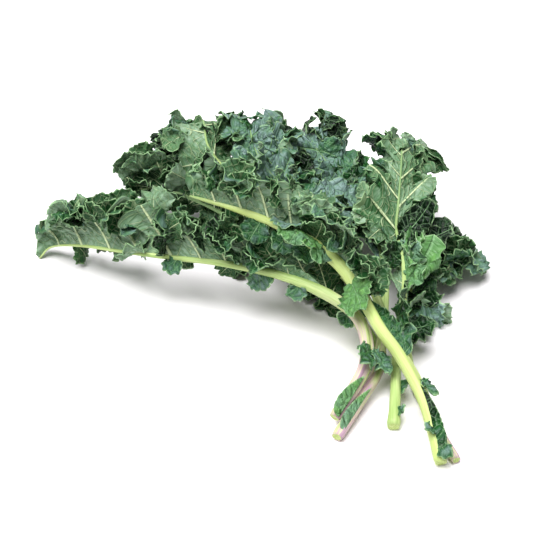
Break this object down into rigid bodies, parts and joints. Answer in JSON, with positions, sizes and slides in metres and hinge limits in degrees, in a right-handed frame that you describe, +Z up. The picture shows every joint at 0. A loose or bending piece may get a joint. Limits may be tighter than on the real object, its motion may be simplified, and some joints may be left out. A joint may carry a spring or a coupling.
{
  "type": "kale bunch",
  "caption": "Bunch of cut curly kale leaves lying crossed at their stalks, with frilled green blades and pale half-round stalks.",
  "frame": {"origin": "middle of the bunch's box, on the surface that it lies on", "axes": "+Z up; the cut ends are at -Y and the leaf tips spread towards -X and +Y; +X to the right of someone facing +Y"},
  "size_m": [0.3852, 0.3807, 0.1264],
  "materials": {
    "kale_leaf": "satin, waxy leaf surface",
    "kale_stalk": "satin, smooth fibrous stalk"
  },
  "bodies": {
    "root": {"leaf_front_left": "kale_leaf", "leaf_front_centre": "kale_leaf", "leaf_upper_left": "kale_leaf", "leaf_back_left": "kale_leaf", "leaf_back_middle": "kale_leaf", "leaf_back_centre": "kale_leaf", "leaf_back_right": "kale_leaf", "leaf_low_right": "kale_leaf", "leaf_underneath": "kale_leaf"}
  },
  "joints": []
}
